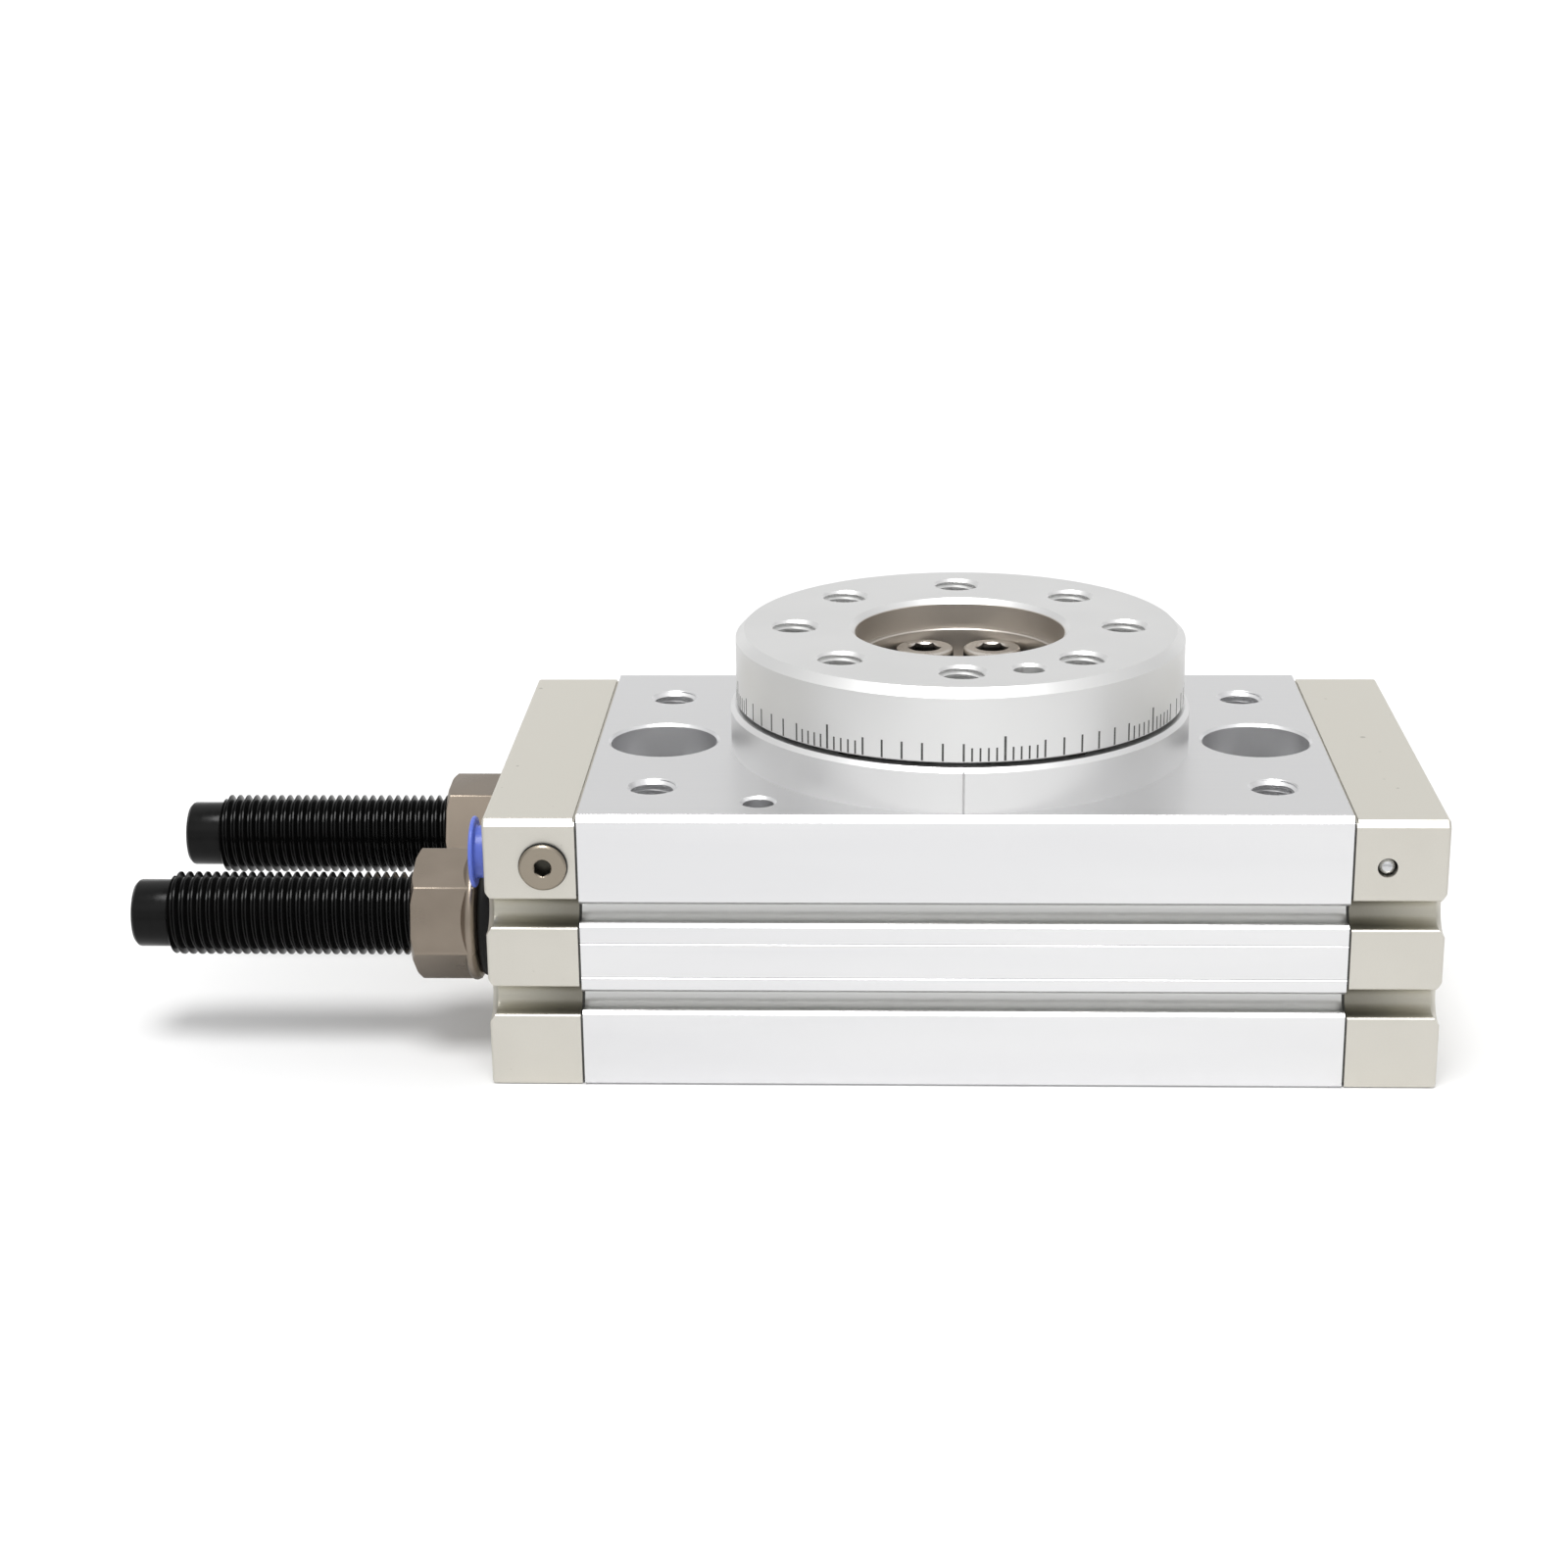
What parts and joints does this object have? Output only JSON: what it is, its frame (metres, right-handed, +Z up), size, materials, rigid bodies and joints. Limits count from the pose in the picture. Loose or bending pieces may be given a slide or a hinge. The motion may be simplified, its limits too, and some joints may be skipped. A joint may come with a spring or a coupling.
{
  "type": "pneumatic rotary actuator",
  "caption": "Rack-and-pinion air actuator: a bored metal body with a round rotary table on top, sensor slots along its sides and shock absorbers at one end.",
  "frame": {"origin": "on the table's axis, in the plane of the base", "axes": "+X along the body away from the shock absorbers, +Y away from the front, +Z up the axis"},
  "size_m": [0.2133, 0.0818, 0.066],
  "materials": {
    "clear_anodised": "fine satin, clear anodised",
    "cover_anodised": "satin, anodised, slightly warm",
    "gasket_rubber": "matt",
    "black_rubber": "matt",
    "nickel_plate": "satin nickel plate",
    "zinc_steel": "plated steel",
    "bearing_steel": "ground bearing steel",
    "cage_steel": "pressed sheet",
    "spring_steel": "black oxide",
    "gear_steel": "machined and ground",
    "black_oxide": "glossy black oxide",
    "rod_chrome": "hard chrome",
    "wear_resin": "filled resin",
    "magnet": "sintered",
    "cap_plastic": "soft moulded plastic"
  },
  "bodies": {
    "body": {"housing": "clear_anodised", "port_cover": "cover_anodised", "end_cover": "cover_anodised", "port_cover_gasket": "gasket_rubber", "end_cover_gasket": "gasket_rubber", "port_cover_screws": "zinc_steel", "end_cover_screws": "zinc_steel", "bearing_retainer": "clear_anodised", "retainer_screws": "zinc_steel", "lower_bearing_outer_ring": "bearing_steel", "upper_bearing_outer_ring": "bearing_steel", "lower_retaining_ring": "spring_steel", "front_absorber_body": "black_oxide", "front_absorber_nut": "nickel_plate", "front_absorber_seal": "black_rubber", "front_side_plug": "nickel_plate", "front_channel_ball": "bearing_steel", "rear_absorber_body": "black_oxide", "rear_absorber_nut": "nickel_plate", "rear_absorber_seal": "black_rubber", "rear_side_plug": "nickel_plate", "rear_channel_ball": "bearing_steel"},
    "table_assembly": {"table": "clear_anodised", "table_screws": "zinc_steel", "table_dowel": "bearing_steel", "pinion_shaft": "gear_steel", "lower_bearing_inner_ring": "bearing_steel", "upper_bearing_inner_ring": "bearing_steel"},
    "lower_cage": {"lower_bearing_cage": "cage_steel"},
    "upper_cage": {"upper_bearing_cage": "cage_steel"},
    "front_piston": {"front_rack_piston": "gear_steel", "front_wear_rings": "wear_resin", "front_piston_seals": "black_rubber", "front_magnet": "magnet"},
    "front_rod": {"front_absorber_rod": "rod_chrome"},
    "front_cap": {"front_port_cap": "cap_plastic"},
    "rear_piston": {"rear_rack_piston": "gear_steel", "rear_wear_rings": "wear_resin", "rear_piston_seals": "black_rubber", "rear_magnet": "magnet"},
    "rear_rod": {"rear_absorber_rod": "rod_chrome"},
    "rear_cap": {"rear_port_cap": "cap_plastic"}
  },
  "joints": [
    {"name": "table_rotation", "type": "hinge", "parent": "body", "child": "table_assembly", "pos_m": [0, 0, 0.06], "axis": [0, 0, 1], "range_deg": [-95, 95]},
    {"name": "upper_cage_rotation", "type": "hinge", "parent": "body", "child": "upper_cage", "pos_m": [0, 0, 0.046], "axis": [0, 0, 1], "range_deg": [-42, 42]},
    {"name": "lower_cage_rotation", "type": "hinge", "parent": "body", "child": "lower_cage", "pos_m": [0, 0, 0.0067], "axis": [0, 0, 1], "range_deg": [-42, 42]},
    {"name": "front_piston_slide", "type": "slide", "parent": "body", "child": "front_piston", "axis": [1, 0, 0], "range_m": [-0.0166, 0.0166]},
    {"name": "front_absorber_stroke", "type": "slide", "parent": "body", "child": "front_rod", "axis": [1, 0, 0], "range_m": [-0.0055, 0.0055]},
    {"name": "front_cap_pull", "type": "slide", "parent": "body", "child": "front_cap", "axis": [-1, 0, 0], "range_m": [0, 0.01]},
    {"name": "rear_piston_slide", "type": "slide", "parent": "body", "child": "rear_piston", "axis": [1, 0, 0], "range_m": [-0.0166, 0.0166]},
    {"name": "rear_absorber_stroke", "type": "slide", "parent": "body", "child": "rear_rod", "axis": [1, 0, 0], "range_m": [-0.0055, 0.0055]},
    {"name": "rear_cap_pull", "type": "slide", "parent": "body", "child": "rear_cap", "axis": [-1, 0, 0], "range_m": [0, 0.01]}
  ],
  "couplings": [
    {"joint": "upper_cage_rotation", "follows": "table_rotation", "ratio": 0.44},
    {"joint": "lower_cage_rotation", "follows": "table_rotation", "ratio": 0.44},
    {"joint": "front_piston_slide", "follows": "table_rotation", "m_per_rad": 0.01},
    {"joint": "front_absorber_stroke", "follows": "table_rotation", "m_per_rad": 0.003317},
    {"joint": "rear_piston_slide", "follows": "table_rotation", "m_per_rad": -0.01},
    {"joint": "rear_absorber_stroke", "follows": "table_rotation", "m_per_rad": -0.003317}
  ]
}
